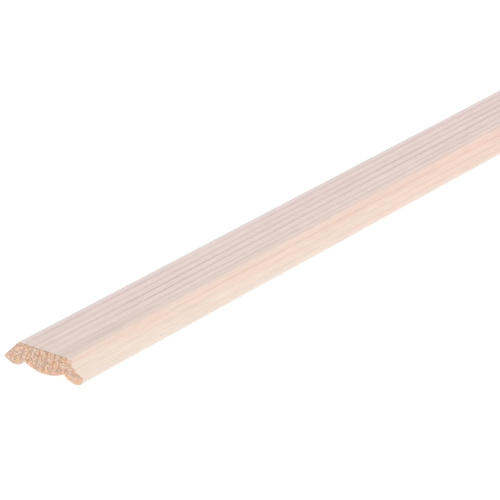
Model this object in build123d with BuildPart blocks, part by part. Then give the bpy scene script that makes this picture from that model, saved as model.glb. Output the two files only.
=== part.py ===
from build123d import *
import os
from math import radians, tan

# Pine cove moulding: one planed strip with a bevel, a flat back, a cove and a beaded underside.
# X runs across the moulding, Y along it and Z up. The origin is on the floor, under the middle of
# the strip, which lies on its two feet and its centre round with the flat back up.
# All lengths are in millimetres.

# Overall size of the strip
length = 2400.0
width = 43.0
thickness = 11.0

# Bevelled edge: a straight slope from the flat back down to a thin lip
bevel_angle = 45.0
bevel_lip_height = 2.8
bevel_lip_land = 0.6

# Coved edge: a hollow from the flat back down to a thicker lip
cove_width = 7.7
cove_radius = 10.0
cove_lip_height = 4.3
cove_lip_land = 2.1

# Underside: a rounded foot by each edge, and a wide round between two quirks
bevel_foot_inset = 5.8
cove_foot_inset = 4.0
bevel_quirk_inset = 10.8
cove_quirk_inset = 10.4
quirk_depth = 2.9

# How far the planer knives soften each kind of corner
arris_radius = 0.4
lip_radius = 0.2
quirk_radius = 0.3

# Places worked out from the sizes above
bevel_edge = -width / 2
cove_edge = width / 2
bevel_width = (thickness - bevel_lip_height) / tan(radians(bevel_angle))

bevel_lip_top = (bevel_edge, bevel_lip_height)
bevel_lip_foot = (bevel_edge, bevel_lip_height - bevel_lip_land)
back_by_bevel = (bevel_edge + bevel_width, thickness)
back_by_cove = (cove_edge - cove_width, thickness)
cove_lip_top = (cove_edge, cove_lip_height)
cove_lip_foot = (cove_edge, cove_lip_height - cove_lip_land)
bevel_foot = (bevel_edge + bevel_foot_inset, 0)
cove_foot = (cove_edge - cove_foot_inset, 0)
bevel_quirk = (bevel_edge + bevel_quirk_inset, quirk_depth)
cove_quirk = (cove_edge - cove_quirk_inset, quirk_depth)
towards_cove_edge = (1, 0)
towards_bevel_edge = (-1, 0)

with BuildPart() as cove_moulding:
    # The section is drawn across the strip and runs unchanged from one sawn end to the other
    with BuildSketch(Plane.XZ) as section:
        with BuildLine():
            # Upper side: lip, bevel, flat back, cove and lip
            Line(bevel_lip_foot, bevel_lip_top)
            Line(bevel_lip_top, back_by_bevel)
            Line(back_by_bevel, back_by_cove)
            RadiusArc(back_by_cove, cove_lip_top, -cove_radius)
            Line(cove_lip_top, cove_lip_foot)
            # Underside: each foot is two arcs that leave its lowest point along the floor
            TangentArc(cove_foot, cove_lip_foot, tangent=towards_cove_edge)
            TangentArc(cove_foot, cove_quirk, tangent=towards_bevel_edge)
            # The centre round is as deep as the quirks beside it, so it just meets the floor
            SagittaArc(cove_quirk, bevel_quirk, quirk_depth)
            TangentArc(bevel_foot, bevel_quirk, tangent=towards_cove_edge)
            TangentArc(bevel_foot, bevel_lip_foot, tangent=towards_bevel_edge)
        make_face()
        # Each kind of corner is softened in turn: the two arrises of the back, the lips, the quirks
        fillet(section.vertices().group_by(Axis.Y)[-1], arris_radius)
        fillet(section.vertices().group_by(Axis.X)[0], lip_radius)
        fillet(section.vertices().group_by(Axis.X)[-1], lip_radius)
        fillet(section.vertices().sort_by_distance(bevel_quirk)[0], quirk_radius)
        fillet(section.vertices().sort_by_distance(cove_quirk)[0], quirk_radius)
    extrude(amount=length / 2, both=True)

cove_moulding.part.label = "cove_moulding"

os.makedirs("parts", exist_ok=True)
export_step(cove_moulding.part, "parts/cove_moulding.step")
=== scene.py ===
"""Planed pine cove moulding: its section, its growth rings and its sawn ends, in a plain light studio.

Lengths are in metres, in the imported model's frame: X runs across the moulding, Y along it and Z up.
"""
import logging
import math
from dataclasses import dataclass
from enum import Enum, IntEnum
from typing import NamedTuple

import bmesh
import bpy
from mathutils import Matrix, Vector, noise
from mathutils.kdtree import KDTree


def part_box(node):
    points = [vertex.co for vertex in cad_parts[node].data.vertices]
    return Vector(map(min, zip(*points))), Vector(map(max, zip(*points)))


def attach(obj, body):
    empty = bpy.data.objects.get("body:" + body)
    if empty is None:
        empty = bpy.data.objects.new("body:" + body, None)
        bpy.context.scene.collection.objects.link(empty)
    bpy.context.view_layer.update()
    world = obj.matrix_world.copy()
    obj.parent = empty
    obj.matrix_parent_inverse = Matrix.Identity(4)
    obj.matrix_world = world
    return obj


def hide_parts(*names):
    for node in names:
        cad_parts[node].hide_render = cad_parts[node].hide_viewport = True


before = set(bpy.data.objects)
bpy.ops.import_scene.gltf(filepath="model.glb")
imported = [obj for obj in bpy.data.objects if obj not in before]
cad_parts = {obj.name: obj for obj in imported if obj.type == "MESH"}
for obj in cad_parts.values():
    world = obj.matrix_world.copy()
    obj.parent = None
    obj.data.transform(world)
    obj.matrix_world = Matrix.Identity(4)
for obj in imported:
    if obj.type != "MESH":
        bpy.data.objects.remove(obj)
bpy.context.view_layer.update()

log = logging.getLogger("moulding")

MM = 0.001
NODE = "cove_moulding"
BODY = "root"

# Points closer than this are one point, and a face this near a plane lies in it
SAME_PLACE = 0.001 * MM
IN_PLANE = 0.01 * MM

# A noise runs from 0 to 1 but seldom goes past these heights
NOISE_LOW = 0.3
NOISE_HIGH = 0.7

# The mix node's numbers for its two colours and for the colour that they give
MIX_A = 6
MIX_B = 7
MIX_OUT = 2

Point = tuple[float, float]
Size = tuple[float, float, float]
Colour = tuple[float, float, float, float]
Socket = bpy.types.NodeSocket
Mesh = bmesh.types.BMesh
Vertex = bmesh.types.BMVert


class Axis(Enum):
    """Way in which a place on the strip is measured."""

    ACROSS = "X"
    ALONG = "Y"
    UP = "Z"


class Cut(IntEnum):
    """How a face of the moulding was cut, which is also the number of its material."""

    DRESSED = 0
    MOULDED = 1
    SAWN = 2


class Mark(Enum):
    """What the rim of a sawn end carries: a painted warm glow along its lower edge, a bruised upper arris
    and painted grey shade on the rims that turn from the light.
    """

    PAINTED_RIM_GLOW = "painted_rim_glow"
    BRUISE = "bruise"
    PAINTED_RIM_SHADE = "painted_rim_shade"


class Softening(Enum):
    """Radius in metres to which the planer's knives leave each kind of corner."""

    ARRIS = 0.4 * MM
    LIP = 0.2 * MM
    QUIRK = 0.3 * MM


def linear(hex_colour: str) -> Colour:
    """Turns an sRGB colour into the linear values that a shader works in.

    Args:
        hex_colour: The colour as six hex digits, such as "e6d2c5".

    Returns:
        Red, green, blue and an alpha of one.
    """
    shares = [int(hex_colour[i:i + 2], 16) / 255 for i in (0, 2, 4)]
    light = [s / 12.92 if s <= 0.04045 else ((s + 0.055) / 1.055) ** 2.4 for s in shares]
    return (*light, 1.0)


def new_material(name: str) -> tuple[bpy.types.Material, bpy.types.Node]:
    """Makes a node material with nothing but its surface shader.

    Args:
        name: The finish's name.

    Returns:
        The material and its shader.
    """
    material = bpy.data.materials.new(name)
    material.use_nodes = True
    return material, material.node_tree.nodes["Principled BSDF"]


@dataclass
class Shading:
    """A material's nodes, and the point of the strip that they shade."""

    tree: bpy.types.NodeTree
    place: Socket | None = None

    def __post_init__(self) -> None:
        """Adds the plain point, in object coordinates, where no other is given."""
        if self.place is None:
            self.place = self.add("TexCoord", output="Object")

    def level(self, axis: Axis) -> Socket:
        """Adds the point's place across, along or up the strip."""
        return self.add("SeparateXYZ", {0: self.place}, axis.value)

    def add(self, kind: str, inputs: dict | None = None, output: int | str = 0,
            **settings: object) -> Socket:
        """Adds one node, with its settings and its links.

        Args:
            kind: The node's type without its first word, ShaderNode.
            inputs: A value or another node's output for each input, by the input's name or number.
            output: The output that the next node reads, by its name or number.
            **settings: The node's own settings, such as its operation.

        Returns:
            That output.
        """
        node = self.tree.nodes.new("ShaderNode" + kind)
        for name, value in settings.items():
            setattr(node, name, value)
        for name, value in (inputs or {}).items():
            if isinstance(value, Socket):
                self.tree.links.new(value, node.inputs[name])
            else:
                node.inputs[name].default_value = value
        return node.outputs[output]


@dataclass(frozen=True)
class Grain:
    """Noise whose cells have a real size along each axis, with finer layers over the first."""

    cell: Size
    detail: float = 2.0
    roughness: float = 0.5

    def add_to(self, at: Shading, output: str = "Fac") -> Socket:
        """Adds the noise at a shaded point.

        Args:
            at: The nodes and the point.
            output: Which of its outputs is read: its height, or three heights as a colour.

        Returns:
            That output, from 0 to 1.
        """
        scaled = at.add("Mapping", {"Vector": at.place, "Scale": tuple(1 / size for size in self.cell)})
        return at.add("TexNoise", {"Vector": scaled, "Scale": 1.0, "Detail": self.detail,
                                   "Roughness": self.roughness}, output)


@dataclass(frozen=True)
class Spots:
    """Scattered ragged spots, where a grain rises above one height and is full above another."""

    grain: Grain
    start: float
    full: float

    def add_to(self, at: Shading) -> Socket:
        """Adds the spots' strength at a shaded point, from 0 to 1."""
        height = self.grain.add_to(at)
        return at.add("MapRange", {"Value": height, "From Min": self.start, "From Max": self.full})


@dataclass(frozen=True)
class Band:
    """A band along the strip, full about its middle and faded out to both sides."""

    middle: float
    full: float
    gone: float
    axis: Axis = Axis.ACROSS

    def add_to(self, at: Shading) -> Socket:
        """Adds the band at a shaded point.

        Args:
            at: The nodes and the point.

        Returns:
            The band's strength, from 0 to 1.
        """
        offset = at.add("Math", {0: at.level(self.axis), 1: self.middle}, operation="SUBTRACT")
        aside = at.add("Math", {0: offset}, operation="ABSOLUTE")
        return at.add("MapRange", {"Value": aside, "From Min": self.gone, "From Max": self.full})


@dataclass(frozen=True)
class Tint:
    """A colour that is laid over another, and the share of it that shows where it is full."""

    colour: str
    share: float = 1.0

    def add_to(self, at: Shading, strength: Socket, under: Socket | Colour) -> Socket:
        """Adds the tint over a colour.

        Args:
            at: The nodes and the point.
            strength: Where the tint is full, from 0 to 1.
            under: The colour beneath it.

        Returns:
            The tinted colour.
        """
        share = at.add("Math", {0: strength, 1: self.share}, operation="MULTIPLY")
        return at.add("Mix", {"Factor": share, MIX_A: under, MIX_B: linear(self.colour)}, MIX_OUT,
                      data_type="RGBA")


@dataclass(frozen=True)
class EdgeTint:
    """A tint along one long edge of the strip."""

    band: Band
    tint: Tint

    def add_to(self, at: Shading, under: Socket) -> Socket:
        """Adds the edge's tint over a colour."""
        return self.tint.add_to(at, self.band.add_to(at), under)


class Year(NamedTuple):
    """One year's growth: where it ends on the back, in mm from the strip's middle, how dark and how rosy."""

    end: float
    dark: float
    rosy: float


class Growth(NamedTuple):
    """The growth at a shaded point: how dark, in which year of the tree and how rosy."""

    late: Socket
    age: Socket
    rosy: Socket


@dataclass(frozen=True)
class GrowthRings:
    """The tree's yearly rings as they run through the strip, in space, so that faces and ends agree.

    The board was sawn nearly along a radius of the trunk: the rings cross the strip steeply, and
    each crosses the flat back as one thin dark line from end to end.
    """

    back_height: float
    near_end: float
    years: tuple[Year, ...] = (
        Year(-26.2, 0.7, 0.4), Year(-22.1, 0.7, 0.4), Year(-17.9, 0.8, 0.4), Year(-13.9, 0.6, 0.4),
        Year(-9.1, 0.65, 0.4), Year(-5.0, 0.7, 0.3), Year(-1.0, 1.0, 0.1), Year(3.3, 1.0, 0.1),
        Year(7.4, 0.8, 0.05), Year(10.3, 0.8, 0.0), Year(12.7, 0.3, 0.2), Year(15.5, 0.4, 0.4),
        Year(18.3, 0.25, 0.05), Year(21.7, 0.12, 0.0), Year(25.4, 0.4, 0.3), Year(29.4, 0.5, 0.3))
    pith_distance: float = 90.0 * MM
    pith_lift: float = math.radians(15.0)
    # Share of a year at which late growth first tints the wood, turns dark, is darkest and ends
    tinted_from: float = 0.40
    dark_from: float = 0.64
    darkest_from: float = 0.90
    fading_from: float = 0.95
    # How much of the year's darkness its first tint brings
    first_tint: float = 0.3
    # On the cove's side the grain drifts outwards over the first part of the strip
    drift: float = 3.4 * MM
    drift_length: float = 0.60
    drift_from: float = 3.0 * MM
    drift_to: float = 20.0 * MM
    # Ripples of the grain, and its slower wander on the stretch beyond the near end
    ripple: float = 0.45 * MM
    ripples: Grain = Grain((12.0 * MM, 90.0 * MM, 12.0 * MM))
    wander: float = 1.6 * MM
    wander_length: float = 0.5
    wander_from: float = 0.35
    wander_to: float = 0.90

    @property
    def pith(self) -> Size:
        """The trunk's middle in the strip's section, up and to the side of the bevelled edge."""
        return (-self.pith_distance * math.cos(self.pith_lift), 0,
                self.back_height + self.pith_distance * math.sin(self.pith_lift))

    def from_end(self, at: Shading) -> Socket:
        """Adds a shaded point's distance from the strip's near end."""
        return at.add("Math", {0: at.level(Axis.ALONG), 1: self.near_end}, operation="SUBTRACT")

    def add_to(self, at: Shading) -> Growth:
        """Adds the ring pattern at a shaded point.

        Args:
            at: The nodes and the point.

        Returns:
            The growth there.
        """
        level = at.add("CombineXYZ", {"X": self._straighten(at), "Z": at.level(Axis.UP)})
        reach = at.add("VectorMath", {0: level, 1: self.pith}, "Value", operation="DISTANCE")
        count = len(self.years) - 1
        share = self._by_reach(at, reach, [number / count for number in range(count + 1)])
        age = at.add("Math", {0: share, 1: count}, operation="MULTIPLY")
        dark = self._by_reach(at, reach, [year.dark for year in self.years])
        late = at.add("Math", {0: self._season(at, age), 1: dark}, operation="MULTIPLY")
        return Growth(late, age, self._by_reach(at, reach, [year.rosy for year in self.years]))

    def around(self, at: Shading) -> Shading:
        """Adds the shaded point as it lies about the pith.

        Args:
            at: The nodes and the point.

        Returns:
            The nodes, with the distance out from the pith, the way round it and the way along the strip.
        """
        offset = Shading(at.tree, at.add("VectorMath", {0: at.place, 1: self.pith}, operation="SUBTRACT"))
        across, along, up = (offset.level(axis) for axis in Axis)
        level = at.add("CombineXYZ", {"X": across, "Z": up})
        reach = at.add("VectorMath", {0: level}, "Value", operation="LENGTH")
        angle = at.add("Math", {0: up, 1: across}, operation="ARCTAN2")
        way = at.add("Math", {0: angle, 1: self.pith_distance}, operation="MULTIPLY")
        return Shading(at.tree, at.add("CombineXYZ", {"X": reach, "Y": way, "Z": along}))

    def _season(self, at: Shading, age: Socket) -> Socket:
        """Adds the late growth within each year, which darkens in two steps and ends abruptly.

        Args:
            at: The nodes and the point.
            age: The tree's age in years, with its fraction.

        Returns:
            How far the late growth has come, from 0 to 1.
        """
        season = at.add("Math", {0: age}, operation="FRACT")
        late: Socket | float = 0.0
        for start, share in ((self.tinted_from, self.first_tint), (self.dark_from, 1.0 - self.first_tint)):
            step = at.add("MapRange", {"Value": season, "From Min": start, "From Max": self.darkest_from,
                                       "To Max": share}, interpolation_type="SMOOTHSTEP")
            late = at.add("Math", {0: step, 1: late}, operation="ADD")
        # The year's end is abrupt but not a hard step
        end = at.add("MapRange", {"Value": season, "From Min": 1.0, "From Max": self.fading_from})
        return at.add("Math", {0: late, 1: end}, operation="MULTIPLY")

    def _by_reach(self, at: Shading, reach: Socket, heights: list[float]) -> Socket:
        """Adds a value that is given at each year's end and runs straight between them.

        Args:
            at: The nodes and the point.
            reach: The distance from the pith.
            heights: The value at each year's end, from 0 to 1.

        Returns:
            The value there.
        """
        side, _, lift = self.pith
        radii = [math.hypot(year.end * MM - side, self.back_height - lift) for year in self.years]
        share = at.add("MapRange", {"Value": reach, "From Min": radii[0], "From Max": radii[-1]})
        curve = at.add("FloatCurve", {"Value": share})
        mapping = curve.node.mapping
        points = mapping.curves[0].points
        for radius in radii[1:-1]:
            points.new((radius - radii[0]) / (radii[-1] - radii[0]), 0.0)
        for point, height in zip(points, heights):
            point.location.y = height
            point.handle_type = "VECTOR"
        mapping.update()
        return curve

    def _straighten(self, at: Shading) -> Socket:
        """Adds the grain's drift, wander and ripples along the strip.

        Args:
            at: The nodes and the point.

        Returns:
            The point's X as it would be if the grain ran dead straight.
        """
        across = at.level(Axis.ACROSS)
        from_end = self.from_end(at)
        side = at.add("MapRange", {"Value": across, "From Min": self.drift_from,
                                   "From Max": self.drift_to, "To Max": self.drift})
        run = at.add("MapRange", {"Value": from_end, "From Max": self.drift_length})
        drift = at.add("Math", {0: side, 1: run}, operation="MULTIPLY")
        room = at.add("MapRange", {"Value": from_end, "From Min": self.wander_from,
                                   "From Max": self.wander_to, "To Max": self.wander})
        slow = at.add("TexNoise", {"W": at.level(Axis.ALONG), "Scale": 1 / self.wander_length,
                                   "Detail": 1.0}, noise_dimensions="1D")
        shift = at.add("Math", {0: slow, 1: room, 2: drift}, operation="MULTIPLY_ADD")
        ripple = at.add("MapRange", {"Value": self.ripples.add_to(at), "To Min": -self.ripple / 2,
                                     "To Max": self.ripple / 2})
        moved = at.add("Math", {0: across, 1: shift}, operation="SUBTRACT")
        return at.add("Math", {0: moved, 1: ripple}, operation="ADD")


@dataclass(frozen=True)
class TornStrands:
    """Strands of end grain that the saw tore over the hollow's upper edge, at both ends of the strip."""

    reach: float
    rings: GrowthRings
    tint: Tint = Tint("d8a888", 0.75)
    grain: Grain = Grain((4.0 * MM, 4.0 * MM, 0.5 * MM), 1.0)
    # Heights of the noise at which a strand starts and reaches furthest
    short: float = 0.4
    long: float = 0.7
    # How fast the strands lean downwards as they leave the end, and how softly each one stops
    lean: float = 0.35
    tip: float = 0.4 * MM
    band: Band = Band(15.2 * MM, 1.6 * MM, 2.6 * MM)

    def add_to(self, at: Shading, under: Socket) -> Socket:
        """Adds the strands over a colour.

        Args:
            at: The nodes and the point.
            under: The colour beneath the strands.

        Returns:
            The colour with the strands.
        """
        from_middle = at.add("Math", {0: at.level(Axis.ALONG)}, operation="ABSOLUTE")
        depth = at.add("Math", {0: -self.rings.near_end, 1: from_middle}, operation="SUBTRACT")
        # The lean moves the point up by a share of its depth
        leant = at.add("VectorMath", {0: depth, 1: (0, 0, self.lean), 2: at.place}, operation="MULTIPLY_ADD")
        height = self.grain.add_to(Shading(at.tree, leant))
        reach = at.add("MapRange", {"Value": height, "From Min": self.short, "From Max": self.long,
                                    "To Max": self.reach})
        left = at.add("Math", {0: reach, 1: depth}, operation="SUBTRACT")
        strand = at.add("MapRange", {"Value": left, "From Max": self.tip})
        strength = at.add("Math", {0: strand, 1: self.band.add_to(at)}, operation="MULTIPLY")
        return self.tint.add_to(at, strength, under)


@dataclass(frozen=True)
class PlanedPine:
    """Pine, planed and left bare: pale wood with thin darker late-growth lines and a dull satin sheen."""

    rings: GrowthRings
    name: str
    pale: str
    rosy: str
    late: Tint
    # How strongly the lines show where faint and where bold, and their gain away from the near end
    faint_line: float
    bold_line: float
    line_gain: float = 0.0
    # Hands have worn the lines by the near end: how much of them is left, how far dirt darkens the wood
    # there, and how far in both go
    worn: float = 1.0
    soiled: float = 0.0
    worn_length: float = 35.0 * MM
    # How far fibres and streaks lighten and darken the wood
    shade: float = 0.08
    # What lies over the wood's own colour, the lowest first
    covers: tuple[EdgeTint | TornStrands, ...] = ()
    # Handling has dulled one band by the near end, fully up to one distance and not past another
    dulled: float = 0.0
    dull_band: Band = Band(10.3 * MM, 1.4 * MM, 3.0 * MM)
    dull_full: float = 40.0 * MM
    dull_gone: float = 80.0 * MM
    # Real fibres are 0.03 mm wide, too fine to show, so they are drawn as coarser faint streaks. An
    # opened resin duct is a short fine dash
    fibres: Grain = Grain((0.6 * MM, 9.0 * MM, 0.6 * MM))
    streaks: Grain = Grain((0.8 * MM, 55.0 * MM, 0.8 * MM))
    ducts: Spots = Spots(Grain((0.35 * MM, 7.0 * MM, 0.35 * MM)), 0.66, 0.76)
    duct_shade: float = 0.06
    # What fibres and streaks add up to at their darkest and lightest
    darkest: float = 0.7
    lightest: float = 1.3
    # Each ring fades and darkens again along the strip, and is bold from this height of its noise
    fade_length: float = 60.0 * MM
    bold_from: float = 0.65
    # The strip turns rosier away from its near end, more in some rings than in others
    blush: float = 0.6
    blush_length: float = 330.0 * MM
    blush_spread: float = 1.7
    roughness: float = 0.55
    roughness_spread: float = 0.08
    # Relief in mm: fibres, proud late growth, and the cutter block's shallow scallops, one for each
    # knife as the strip is fed through
    fibre_relief: float = 0.012
    late_relief: float = 0.020
    knife_relief: float = 0.003
    knife_pitch: float = 1.6 * MM

    def material(self) -> bpy.types.Material:
        """Builds the finish for planed faces.

        Returns:
            The finished material.
        """
        material, shader = new_material(self.name)
        at = Shading(material.node_tree)
        growth = self.rings.add_to(at)
        fibres = self.fibres.add_to(at)
        rough = at.add("MapRange", {"Value": fibres, "To Min": self.roughness - self.roughness_spread,
                                    "To Max": self.roughness + self.roughness_spread})
        at.tree.links.new(self._colour(at, growth, fibres), shader.inputs["Base Color"])
        at.tree.links.new(rough, shader.inputs["Roughness"])
        at.tree.links.new(self._relief(at, growth, fibres), shader.inputs["Normal"])
        return material

    def _colour(self, at: Shading, growth: Growth, fibres: Socket) -> Socket:
        """Adds the wood's colour: early growth, lines, covers, and streaks and ducts over them.

        Args:
            at: The nodes and the point.
            growth: The growth there.
            fibres: Fine noise along the grain.

        Returns:
            The colour.
        """
        slow = at.add("Math", {0: at.level(Axis.ALONG), 1: 1 / self.fade_length}, operation="MULTIPLY")
        lot = at.add("CombineXYZ", {"X": growth.age, "Y": slow})
        patches = at.add("TexNoise", {"Vector": lot, "Scale": 1.0, "Detail": 3.0}, "Color")
        colour = self._early(at, growth, at.add("SeparateColor", {0: patches}, "Red"))
        line = self._line(at, growth, at.add("SeparateColor", {0: patches}, "Green"))
        colour = self.late.add_to(at, line, colour)
        for cover in self.covers:
            colour = cover.add_to(at, colour)
        both = at.add("Math", {0: self.streaks.add_to(at), 1: fibres}, operation="ADD")
        tone = at.add("MapRange", {"Value": both, "From Min": self.darkest, "From Max": self.lightest,
                                   "To Min": 1.0 - self.shade, "To Max": 1.0 + self.shade})
        duct = self.ducts.add_to(at)
        tone = at.add("Math", {0: duct, 1: -self.duct_shade, 2: tone}, operation="MULTIPLY_ADD")
        return at.add("HueSaturation", {"Color": colour, "Value": tone})

    def _early(self, at: Shading, growth: Growth, patch: Socket) -> Socket:
        """Adds the early growth's colour, from pale to rosy.

        Args:
            at: The nodes and the point.
            growth: The growth there.
            patch: Noise that differs from year to year and changes slowly along each.

        Returns:
            The colour.
        """
        middle = self.blush_spread / 2
        blush = at.add("MapRange", {"Value": self.rings.from_end(at), "From Max": self.blush_length,
                                    "To Min": -middle, "To Max": self.blush - middle})
        rose = at.add("Math", {0: patch, 1: self.blush_spread, 2: blush}, operation="MULTIPLY_ADD")
        rose = at.add("Math", {0: rose, 1: growth.rosy}, operation="ADD", use_clamp=True)
        return Tint(self.rosy).add_to(at, rose, linear(self.pale))

    def _line(self, at: Shading, growth: Growth, patch: Socket) -> Socket:
        """Adds the strength of the late growth's lines, and of the dulled band by the near end.

        Args:
            at: The nodes and the point.
            growth: The growth there.
            patch: Noise that differs from year to year and changes slowly along each.

        Returns:
            The strength, from 0 to 1.
        """
        from_end = self.rings.from_end(at)
        shown = at.add("MapRange", {"Value": patch, "From Min": NOISE_LOW, "From Max": self.bold_from,
                                    "To Min": self.faint_line, "To Max": self.bold_line})
        gain = at.add("MapRange", {"Value": from_end, "From Max": self.blush_length, "To Min": 1.0,
                                   "To Max": 1.0 + self.line_gain})
        kept = at.add("MapRange", {"Value": from_end, "From Max": self.worn_length, "To Min": self.worn})
        soil = at.add("MapRange", {"Value": from_end, "From Min": self.worn_length, "From Max": 0.0,
                                   "To Max": self.soiled})
        line = at.add("Math", {0: growth.late, 1: shown}, operation="MULTIPLY")
        line = at.add("Math", {0: line, 1: gain}, operation="MULTIPLY")
        line = at.add("Math", {0: line, 1: kept, 2: soil}, operation="MULTIPLY_ADD")
        by_end = at.add("MapRange", {"Value": from_end, "From Min": self.dull_gone,
                                     "From Max": self.dull_full, "To Max": self.dulled})
        dull = at.add("Math", {0: self.dull_band.add_to(at), 1: by_end}, operation="MULTIPLY")
        return at.add("Math", {0: line, 1: dull}, operation="MAXIMUM")

    def _relief(self, at: Shading, growth: Growth, fibres: Socket) -> Socket:
        """Adds the planed surface's relief: proud late growth, fibres and the knives' scallops.

        Args:
            at: The nodes and the point.
            growth: The growth there.
            fibres: Fine noise along the grain.

        Returns:
            The relief as a bumped normal.
        """
        turn = at.add("Math", {0: at.level(Axis.ALONG), 1: 2 * math.pi / self.knife_pitch},
                      operation="MULTIPLY")
        scallop = at.add("Math", {0: turn}, operation="SINE")
        height = at.add("Math", {0: growth.late, 1: self.late_relief}, operation="MULTIPLY")
        for source, relief in ((fibres, self.fibre_relief), (scallop, self.knife_relief)):
            height = at.add("Math", {0: source, 1: relief, 2: height}, operation="MULTIPLY_ADD")
        return at.add("Bump", {"Height": height, "Distance": MM})


@dataclass(frozen=True)
class SawnPineEnd:
    """Pine end grain off a saw: tan to orange, with soft ring bands, torn pits and a painted glow along its
    lower edge.
    """

    rings: GrowthRings
    name: str = "sawn_pine_end_grain"
    pale: str = "fde1cd"
    deep: str = "e1b598"
    late: Tint = Tint("bf9172", 0.68)
    # The saw tears the fibres into dark rows and pits along the rings, with pale fuzz beside them
    rows: Spots = Spots(Grain((0.9 * MM, 3.0 * MM, 1.0 * MM), 4.0), 0.5, 0.66)
    row_tint: Tint = Tint("bf9172", 0.55)
    pits: Spots = Spots(Grain((0.5 * MM, 1.1 * MM, 1.0 * MM), 4.0), 0.55, 0.65)
    pit_tint: Tint = Tint("7f5a45", 0.72)
    fuzz: Spots = Spots(Grain((0.8 * MM, 1.0 * MM, 1.0 * MM), 4.0), 0.58, 0.72)
    fuzz_tint: Tint = Tint("f8e2d4", 0.7)
    # The fuzz's noise is taken from this far off, so that it lies beside the pits
    fuzz_offset: Size = (0, 1.0, 0)
    # The saw's teeth leave fine level scratches, plainest on the cove's side, where they smear the pits
    scratches: Spots = Spots(Grain((7.0 * MM, 1.0 * MM, 0.42 * MM), 4.0), 0.46, 0.62)
    scratch_tint: Tint = Tint("bf9172", 0.75)
    scratched_from: float = 8.0 * MM
    scratched_to: float = 16.0 * MM
    least_scratched: float = 0.4
    least_pitted: float = 0.35
    # The dense late growth tears least
    late_pitted: float = 0.3
    # Painted light: a warm pale glow along the lower rim, as of light from the table showing through the
    # thin wood
    painted_rim_glow: Tint = Tint("fdc8a0", 0.9)
    bruise: Tint = Tint("9c8375", 0.5)
    # Painted shade: a cool grey along the rims that turn away from the side light
    painted_rim_shade: Tint = Tint("dccfc8", 0.65)
    # The saw frays the rings' edges too
    fray: Grain = Grain((1.2 * MM, 1.2 * MM, 1.2 * MM))
    fray_reach: float = 0.8 * MM
    torn: Grain = Grain((1.1 * MM, 1.1 * MM, 1.1 * MM), 3.0, 0.6)
    # Resin and damp tint the end in soft patches, some redder or paler and some more yellow
    stain: Grain = Grain((3.0 * MM, 3.0 * MM, 3.0 * MM))
    stain_hue: float = 0.013
    stain_strength: float = 0.20
    stain_shade: float = 0.06
    roughness: float = 0.85
    # Relief in mm
    torn_relief: float = 0.12
    pit_relief: float = 0.15

    def material(self) -> bpy.types.Material:
        """Builds the finish for the two sawn ends.

        Returns:
            The finished material.
        """
        material, shader = new_material(self.name)
        at = Shading(material.node_tree)
        about = self.rings.around(at)
        late = self.rings.add_to(Shading(at.tree, self._frayed(at))).late
        torn = self.torn.add_to(at)
        scratched = at.add("MapRange", {"Value": at.level(Axis.ACROSS), "From Min": self.scratched_from,
                                        "From Max": self.scratched_to})
        marked = at.add("MapRange", {"Value": scratched, "To Min": self.least_scratched})
        scratch = at.add("Math", {0: self.scratches.add_to(at), 1: marked}, operation="MULTIPLY")
        beside = at.add("Mapping", {"Vector": about.place, "Location": self.fuzz_offset})
        pit = self._pits(about, late, scratched)
        marks = [at.add("Attribute", output="Fac", attribute_name=mark.value) for mark in Mark]
        ground = at.add("MapRange", {"Value": torn, "From Min": NOISE_LOW, "From Max": NOISE_HIGH})
        colour = Tint(self.pale).add_to(at, ground, linear(self.deep))
        for tint, strength in (
            (self.row_tint, self.rows.add_to(about)),
            (self.late, late),
            (self.fuzz_tint, self.fuzz.add_to(Shading(at.tree, beside))),
            (self.scratch_tint, scratch),
            (self.pit_tint, pit),
            *zip((self.painted_rim_glow, self.bruise, self.painted_rim_shade), marks),
        ):
            colour = tint.add_to(at, strength, colour)
        height = at.add("Math", {0: torn, 1: self.torn_relief}, operation="MULTIPLY")
        height = at.add("Math", {0: pit, 1: -self.pit_relief, 2: height}, operation="MULTIPLY_ADD")
        relief = at.add("Bump", {"Height": height, "Distance": MM})
        shader.inputs["Roughness"].default_value = self.roughness
        at.tree.links.new(self._stained(at, colour), shader.inputs["Base Color"])
        at.tree.links.new(relief, shader.inputs["Normal"])
        return material

    def _frayed(self, at: Shading) -> Socket:
        """Adds a point that strays a little, so that the ring bands have ragged edges.

        Args:
            at: The nodes and the point.

        Returns:
            The strayed point.
        """
        stray = self.fray.add_to(at, "Color")
        centred = at.add("VectorMath", {0: stray, 1: (0.5, 0.5, 0.5)}, operation="SUBTRACT")
        reach = (self.fray_reach, 0, self.fray_reach)
        return at.add("VectorMath", {0: centred, 1: reach, 2: at.place}, operation="MULTIPLY_ADD")

    def _pits(self, about: Shading, late: Socket, scratched: Socket) -> Socket:
        """Adds the torn pits.

        Args:
            about: The nodes, and the shaded point as it lies about the pith.
            late: How dark the late growth is there.
            scratched: How strongly the end is scratched there.

        Returns:
            The pits' strength, from 0 to 1.
        """
        pit = self.pits.add_to(about)
        for source, least in ((late, self.late_pitted), (scratched, self.least_pitted)):
            left = about.add("MapRange", {"Value": source, "To Min": 1.0, "To Max": least})
            pit = about.add("Math", {0: pit, 1: left}, operation="MULTIPLY")
        return pit

    def _stained(self, at: Shading, colour: Socket) -> Socket:
        """Adds the soft patches of resin and damp.

        Args:
            at: The nodes and the point.
            colour: The end grain's colour without them.

        Returns:
            The stained colour.
        """
        stain = self.stain.add_to(at, "Color")
        changes = {}
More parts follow.
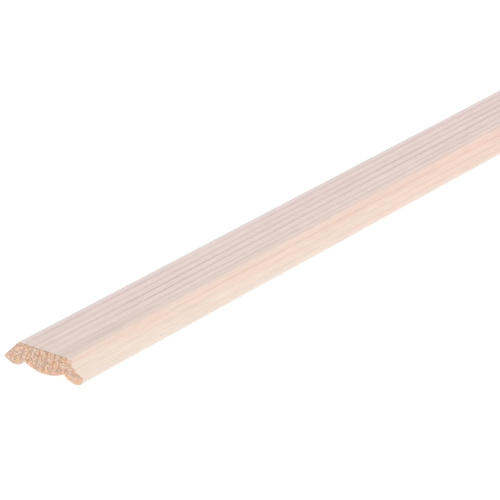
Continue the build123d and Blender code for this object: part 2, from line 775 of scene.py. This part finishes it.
        # Hue 0.5, saturation 1 and value 1 leave a colour as it is
        for name, channel, middle, spread in (
            ("Hue", "Red", 0.5, self.stain_hue),
            ("Saturation", "Green", 1.0, self.stain_strength),
            ("Value", "Green", 1.0, self.stain_shade),
        ):
            height = at.add("SeparateColor", {0: stain}, channel)
            changes[name] = at.add("MapRange", {
                "Value": height, "From Min": NOISE_LOW, "From Max": NOISE_HIGH,
                "To Min": middle - spread, "To Max": middle + spread})
        return at.add("HueSaturation", {"Color": colour, **changes})


def over(low: Point, end: Point) -> Point:
    """Centre of a round stretch that leaves its lowest point level and passes through its other end."""
    across, up = end[0] - low[0], end[1] - low[1]
    return (low[0], low[1] + (across ** 2 + up ** 2) / (2 * up))


@dataclass
class CoveMoulding:
    """The strip: one section, drawn once and drawn out to the length of the stock, with two sawn ends."""

    low: Vector
    high: Vector
    bevel_angle: float = math.radians(45.0)
    bevel_lip_height: float = 2.8 * MM
    bevel_lip_land: float = 0.6 * MM
    cove_width: float = 7.7 * MM
    cove_radius: float = 10.0 * MM
    cove_lip_height: float = 4.3 * MM
    cove_lip_land: float = 2.1 * MM
    bevel_foot_inset: float = 5.8 * MM
    cove_foot_inset: float = 4.0 * MM
    bevel_quirk_inset: float = 10.8 * MM
    cove_quirk_inset: float = 10.4 * MM
    quirk_depth: float = 2.9 * MM
    # How finely the round stretches, the softened corners and the length are divided
    arc_step: float = 0.5 * MM
    corner_steps: int = 4
    length_step: float = 0.1
    # The cells of the sawn ends, how far they are sunk and over what length that changes
    torn_cell: float = 0.45 * MM
    torn_depth: float = 0.12 * MM
    torn_size: float = 0.8 * MM
    # Edges that turn by more than this are shaded as sharp
    sharp_angle: float = math.radians(35.0)
    # How far in from the rim each mark reaches, and how much of it there is at the strip's middle
    painted_rim_glow_width: float = 2.2 * MM
    bruise_width: float = 0.7 * MM
    painted_rim_shade_width: float = 1.4 * MM
    painted_rim_glow_in_middle: float = 0.7
    painted_rim_shade_in_middle: float = 0.35

    def build(self) -> bpy.types.Object:
        """Models the strip.

        Returns:
            The finished piece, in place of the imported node.
        """
        mesh = bmesh.new()
        for mark in Mark:
            mesh.verts.layers.float.new(mark.value)
        self._draw_section(mesh)
        self._draw_out(mesh)
        self._cut_to_panels(mesh)
        self._tear_ends(mesh)
        bmesh.ops.remove_doubles(mesh, verts=mesh.verts, dist=SAME_PLACE)
        bmesh.ops.recalc_face_normals(mesh, faces=mesh.faces)
        loose = [edge for edge in mesh.edges if not edge.is_manifold]
        log.info("moulding: %d faces, %d open edges", len(mesh.faces), len(loose))
        data = bpy.data.meshes.new("moulding")
        mesh.to_mesh(data)
        mesh.free()
        data.set_sharp_from_angle(angle=self.sharp_angle)
        piece = bpy.data.objects.new("moulding", data)
        bpy.context.scene.collection.objects.link(piece)
        self._dress(piece)
        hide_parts(NODE)
        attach(piece, BODY)
        return piece

    def _corners(self) -> dict[str, Point]:
        """Works out the section's corners and lowest points.

        Returns:
            Each one's X and Z, by its name.
        """
        left, right = self.low.x, self.high.x
        floor, back = self.low.z, self.high.z
        bevel = (back - floor - self.bevel_lip_height) / math.tan(self.bevel_angle)
        return {
            "bevel_lip_foot": (left, floor + self.bevel_lip_height - self.bevel_lip_land),
            "bevel_lip_top": (left, floor + self.bevel_lip_height),
            "back_by_bevel": (left + bevel, back),
            "back_by_cove": (right - self.cove_width, back),
            "cove_lip_top": (right, floor + self.cove_lip_height),
            "cove_lip_foot": (right, floor + self.cove_lip_height - self.cove_lip_land),
            "cove_foot": (right - self.cove_foot_inset, floor),
            "cove_quirk": (right - self.cove_quirk_inset, floor + self.quirk_depth),
            "bevel_quirk": (left + self.bevel_quirk_inset, floor + self.quirk_depth),
            "bevel_foot": (left + self.bevel_foot_inset, floor),
        }

    def _draw_section(self, mesh: Mesh) -> None:
        """Draws the outline at the near end, fills it and softens its corners.

        Args:
            mesh: The empty mesh that it is drawn in.
        """
        at = self._corners()
        pen = mesh.verts.new((at["bevel_lip_foot"][0], self.low.y, at["bevel_lip_foot"][1]))
        for name in ("bevel_lip_top", "back_by_bevel", "back_by_cove"):
            pen = self._line(mesh, pen, at[name])
        hollow = self._hollow_centre(at["back_by_cove"], at["cove_lip_top"])
        pen = self._arc(mesh, pen, hollow, at["cove_lip_top"])
        pen = self._line(mesh, pen, at["cove_lip_foot"])
        # The underside's round stretches each leave their lowest point level
        middle = ((at["cove_quirk"][0] + at["bevel_quirk"][0]) / 2, self.low.z)
        for lowest, side, end in (
            (at["cove_foot"], "cove_lip_foot", "cove_foot"),
            (at["cove_foot"], "cove_quirk", "cove_quirk"),
            (middle, "cove_quirk", "bevel_quirk"),
            (at["bevel_foot"], "bevel_quirk", "bevel_foot"),
            (at["bevel_foot"], "bevel_lip_foot", "bevel_lip_foot"),
        ):
            pen = self._arc(mesh, pen, over(lowest, at[side]), at[end])
        bmesh.ops.remove_doubles(mesh, verts=mesh.verts, dist=IN_PLANE)
        bmesh.ops.contextual_create(mesh, geom=mesh.edges)
        for names, softening in (
            (("back_by_bevel", "back_by_cove"), Softening.ARRIS),
            (("bevel_lip_foot", "bevel_lip_top", "cove_lip_top", "cove_lip_foot"), Softening.LIP),
            (("cove_quirk", "bevel_quirk"), Softening.QUIRK),
        ):
            for name in names:
                self._soften(mesh, at[name], softening.value)

    def _line(self, mesh: Mesh, pen: Vertex, end: Point) -> Vertex:
        """Draws a straight stretch from the pen's place.

        Args:
            mesh: The mesh that is drawn in.
            pen: The outline's last vertex.
            end: Where the stretch ends, as X and Z.

        Returns:
            The vertex at its end.
        """
        new = bmesh.ops.extrude_vert_indiv(mesh, verts=[pen])["verts"]
        bmesh.ops.translate(mesh, verts=new, vec=Vector((end[0], self.low.y, end[1])) - pen.co)
        return new[0]

    def _arc(self, mesh: Mesh, pen: Vertex, centre: Point, end: Point) -> Vertex:
        """Draws a round stretch from the pen's place, the short way about its centre.

        Args:
            mesh: The mesh that is drawn in.
            pen: The outline's last vertex.
            centre: The stretch's centre, as X and Z.
            end: Where the stretch ends, as X and Z.

        Returns:
            The vertex at its end.
        """
        pivot = Vector((centre[0], self.low.y, centre[1]))
        start = pen.co - pivot
        stop = Vector((end[0], self.low.y, end[1])) - pivot
        angle = math.atan2(start.cross(stop).y, start.dot(stop))
        steps = max(2, round(abs(angle) * start.length / self.arc_step))
        drawn = bmesh.ops.spin(mesh, geom=[pen], cent=pivot, axis=(0, 1, 0), angle=angle, steps=steps)
        return next(item for item in drawn["geom_last"] if isinstance(item, Vertex))

    def _hollow_centre(self, start: Point, end: Point) -> Point:
        """Works out the centre of the cove's hollow, outside the wood and above the line between its ends.

        Args:
            start: The hollow's upper end, as X and Z.
            end: Its lower end.

        Returns:
            The centre, as X and Z.
        """
        a, b = Vector(start), Vector(end)
        chord = b - a
        away = Vector((-chord.y, chord.x)).normalized()
        centre = (a + b) / 2 + away * math.sqrt(self.cove_radius ** 2 - (chord.length / 2) ** 2)
        return (centre.x, centre.y)

    def _soften(self, mesh: Mesh, corner: Point, radius: float) -> None:
        """Rounds one corner of the section.

        Args:
            mesh: The mesh with the filled section.
            corner: The corner's X and Z.
            radius: The radius that it gets.
        """
        place = Vector((corner[0], self.low.y, corner[1]))
        vertex = min(mesh.verts, key=lambda v: (v.co - place).length)
        one, other = ((edge.other_vert(vertex).co - vertex.co) for edge in vertex.link_edges)
        turn = math.pi - one.angle(other)
        bmesh.ops.bevel(mesh, geom=[vertex], offset=radius * math.tan(turn / 2), offset_type="OFFSET",
                        segments=self.corner_steps, profile=0.5, affect="VERTICES", material=-1,
                        clamp_overlap=True)

    def _draw_out(self, mesh: Mesh) -> None:
        """Draws the filled section out to the strip's length and tells its two kinds of planed face apart.

        Args:
            mesh: The mesh with the filled section.
        """
        drawn = bmesh.ops.extrude_face_region(mesh, geom=list(mesh.faces))["geom"]
        moved = [item for item in drawn if isinstance(item, Vertex)]
        bmesh.ops.translate(mesh, verts=moved, vec=(0, self.high.y - self.low.y, 0))
        bmesh.ops.recalc_face_normals(mesh, faces=mesh.faces)
        # The back and its softened arrises were dressed first, and the rest was moulded after that. The
        # back's finish is a darker, greyer copy of the pine (painted shade and sheen), and the rest a
        # brighter one (painted light)
        for face in mesh.faces:
            on_back = face.calc_center_median().z > self.high.z - Softening.ARRIS.value
            face.material_index = Cut.DRESSED if on_back and face.normal.z > 0 else Cut.MOULDED

    def _cut_to_panels(self, mesh: Mesh) -> None:
        """Cuts the long faces across at even steps, so that none is a sliver of the whole length.

        Args:
            mesh: The mesh of the whole strip.
        """
        length = self.high.y - self.low.y
        for number in range(1, round(length / self.length_step)):
            cut = (0, self.low.y + number * self.length_step, 0)
            bmesh.ops.bisect_plane(mesh, geom=[*mesh.verts, *mesh.edges, *mesh.faces], dist=SAME_PLACE,
                                   plane_co=cut, plane_no=(0, 1, 0))

    def _tear_ends(self, mesh: Mesh) -> None:
        """Cuts the sawn ends into small cells and sinks them unevenly, as a saw's teeth tear the fibres.

        Args:
            mesh: The mesh of the whole strip.
        """
        for place, inward in ((self.low.y, 1.0), (self.high.y, -1.0)):
            for normal, low, high in (
                (Vector((1, 0, 0)), self.low.x, self.high.x),
                (Vector((0, 0, 1)), self.low.z, self.high.z),
            ):
                for number in range(1, int((high - low) / self.torn_cell) + 1):
                    faces = self._end_faces(mesh, place)
                    near = {item for face in faces for item in (*face.verts, *face.edges)}
                    cut = normal * (low + number * self.torn_cell)
                    bmesh.ops.bisect_plane(mesh, geom=[*near, *faces], dist=SAME_PLACE, plane_co=cut,
                                           plane_no=normal)
            for face in self._end_faces(mesh, place):
                face.material_index = Cut.SAWN
            ends = [vertex for vertex in mesh.verts if abs(vertex.co.y - place) < IN_PLANE]
            self._mark_rim(mesh, ends)
            for vertex in ends:
                # The noise runs from -1 to 1, and no cell stands proud
                rough = 0.5 + 0.5 * noise.noise(vertex.co / self.torn_size)
                vertex.co.y += inward * self.torn_depth * rough

    def _end_faces(self, mesh: Mesh, place: float) -> list[bmesh.types.BMFace]:
        """Faces that lie in the plane of one sawn end, given by its Y."""
        return [face for face in mesh.faces if abs(face.calc_center_median().y - place) < IN_PLANE]

    def _mark_rim(self, mesh: Mesh, ends: list[Vertex]) -> None:
        """Marks each vertex of a sawn end with its share of painted glow, bruise and painted shade.

        Args:
            mesh: The mesh that carries the marks.
            ends: The end's vertices, still in one plane.
        """
        painted_rim_glow, bruise, painted_rim_shade = (mesh.verts.layers.float[mark.value] for mark in Mark)
        rim = [v for v in ends if any(face.material_index != Cut.SAWN for face in v.link_faces)]
        top = self.high.z - Softening.ARRIS.value
        lowest_lip = self.low.z + max(self.quirk_depth, self.bevel_lip_height - self.bevel_lip_land)
        foot = self.high.x - self.cove_foot_inset
        lip = self.low.z + self.cove_lip_height - self.cove_lip_land
        # The painted glow runs along the lower rim, the bruise along the top arris, and the painted shade
        # along the rest but the cove
        for layer, width, group in (
            (painted_rim_glow, self.painted_rim_glow_width, [v for v in rim if v.co.z <= lowest_lip]),
            (bruise, self.bruise_width, [v for v in rim if v.co.z >= top]),
            (painted_rim_shade, self.painted_rim_shade_width, [v for v in rim if v.co.z < top and (v.co.x < foot or v.co.z < lip)]),
        ):
            nearest = KDTree(len(group))
            for number, vertex in enumerate(group):
                nearest.insert(vertex.co, number)
            nearest.balance()
            for vertex in ends:
                vertex[layer] = max(0.0, 1.0 - nearest.find(vertex.co)[2] / width)
        # The painted glow is strongest towards the cove's side, and the painted shade towards both sides
        half = (self.high.x - self.low.x) / 2
        for vertex in ends:
            aside = (vertex.co.x - self.low.x) / half - 1.0
            vertex[painted_rim_glow] *= self.painted_rim_glow_in_middle + (1.0 - self.painted_rim_glow_in_middle) * aside
            vertex[painted_rim_shade] *= self.painted_rim_shade_in_middle + (1.0 - self.painted_rim_shade_in_middle) * abs(aside)

    def _dress(self, piece: bpy.types.Object) -> None:
        """Gives the piece a finish for each way it was cut.

        Args:
            piece: The finished mesh, whose faces carry the number of their cut.
        """
        rings = GrowthRings(back_height=self.high.z, near_end=self.low.y)
        corners = self._corners()
        by_bevel, by_cove = corners["back_by_bevel"][0], corners["back_by_cove"][0]
        finishes = {
            # The back: pinkish, darker and greyer from painted shade and a painted grey sheen, its lines
            # plain to see, greyer within a few millimetres of the bevel's arris and paler right at it, and a
            # warmer edge by the cove
            Cut.DRESSED: PlanedPine(
                rings, "pine_back_painted_shade", pale="e2d1c7", rosy="e4cec8", late=Tint("bda29c"),
                faint_line=0.297, bold_line=0.759, worn=0.42, soiled=0.08, dulled=0.27, covers=(
                    EdgeTint(Band(by_bevel, 0.0, 3.3 * MM), Tint("d9d3d3", 0.7)),
                    EdgeTint(Band(by_bevel, 0.0, 1.2 * MM), Tint("efe9e7", 0.35)),
                    EdgeTint(Band(by_cove, 0.0, 2.0 * MM), Tint("e8cfbf", 0.4)))),
            # The profile: warmer and brighter from painted light where these faces turn to the side light,
            # with faint peach lines, and lips that are palest below, painted light bounced up from the table
            Cut.MOULDED: PlanedPine(
                rings, "pine_profile_painted_light", pale="efdecf", rosy="f1d2c5", late=Tint("dcb79f"), faint_line=0.315,
                bold_line=0.805, line_gain=0.8, worn=0.7, soiled=0.05, shade=0.06, covers=(
                    # Painted light: a pale band low on the lips and feet, as of light bounced up from the
                    # table
                    EdgeTint(Band(1.9 * MM, 0.2 * MM, 1.7 * MM, Axis.UP), Tint("f8f6f6", 0.32)),
                    TornStrands(1.9 * MM, rings))),
            Cut.SAWN: SawnPineEnd(rings),
        }
        for cut in Cut:
            piece.data.materials.append(finishes[cut].material())
        for face in piece.data.polygons:
            face.use_smooth = True


@dataclass
class Studio:
    """A white table lit evenly from all round, with one softer light from the cove's side."""

    near_end: float
    table_size: float = 12.0
    table_colour: str = "959595"
    table_roughness: float = 0.9
    # The table glows a little, so that no shadow greys it
    glow: float = 0.76
    sky: float = 0.88
    sun: float = 0.47
    sun_softness: float = math.radians(60.0)
    sun_elevation: float = math.radians(80.0)
    sun_azimuth: float = math.radians(70.0)
    # The camera looks at a place on the strip a little way in from its near end
    aim: Size = (0.00665, 0.13502, 0.011)
    distance: float = 1.40544
    elevation: float = math.radians(23.623)
    azimuth: float = math.radians(36.872)
    focal_length: float = 226.434

    def build(self) -> None:
        """Sets up the table, the light and the camera."""
        self._table()
        self._light()
        self._camera()

    def _table(self) -> None:
        """Lays a wide white table."""
        mesh = bmesh.new()
        bmesh.ops.create_grid(mesh, x_segments=2, y_segments=2, size=self.table_size)
        data = bpy.data.meshes.new("table")
        mesh.to_mesh(data)
        mesh.free()
        table = bpy.data.objects.new("table", data)
        bpy.context.scene.collection.objects.link(table)
        material, shader = new_material("white_table")
        shader.inputs["Base Color"].default_value = linear(self.table_colour)
        shader.inputs["Roughness"].default_value = self.table_roughness
        shader.inputs["Emission Color"].default_value = linear("ffffff")
        shader.inputs["Emission Strength"].default_value = self.glow
        data.materials.append(material)

    def _light(self) -> None:
        """Adds the even light from all round and the soft one from the side."""
        world = bpy.data.worlds.new("studio")
        world.use_nodes = True
        background = world.node_tree.nodes["Background"]
        background.inputs["Color"].default_value = linear("ffffff")
        background.inputs["Strength"].default_value = self.sky
        bpy.context.scene.world = world
        lamp = bpy.data.lights.new("side_light", "SUN")
        lamp.energy = self.sun
        lamp.angle = self.sun_softness
        light = bpy.data.objects.new("side_light", lamp)
        light.rotation_euler = (math.pi / 2 - self.sun_elevation, 0, self.sun_azimuth)
        bpy.context.scene.collection.objects.link(light)

    def _camera(self) -> None:
        """Stands the camera where the photograph was taken from."""
        look = Vector((-math.sin(self.azimuth) * math.cos(self.elevation),
                       math.cos(self.azimuth) * math.cos(self.elevation), -math.sin(self.elevation)))
        lens = bpy.data.cameras.new("camera")
        lens.lens = self.focal_length
        camera = bpy.data.objects.new("camera", lens)
        aim = Vector(self.aim) + Vector((0, self.near_end, 0))
        camera.location = aim - look * self.distance
        camera.rotation_euler = (math.pi / 2 - self.elevation, 0, self.azimuth)
        bpy.context.scene.collection.objects.link(camera)
        bpy.context.scene.camera = camera


def main() -> None:
    """Builds the moulding and the studio and reports each."""
    logging.basicConfig(level=logging.INFO, format="%(message)s")
    bpy.context.scene.view_settings.view_transform = "Standard"
    low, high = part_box(NODE)
    piece = CoveMoulding(low, high).build()
    log.info("%s: %d vertices", piece.name, len(piece.data.vertices))
    Studio(near_end=low.y).build()
    log.info("studio: table, light and camera")


if __name__ == "__main__":
    main()
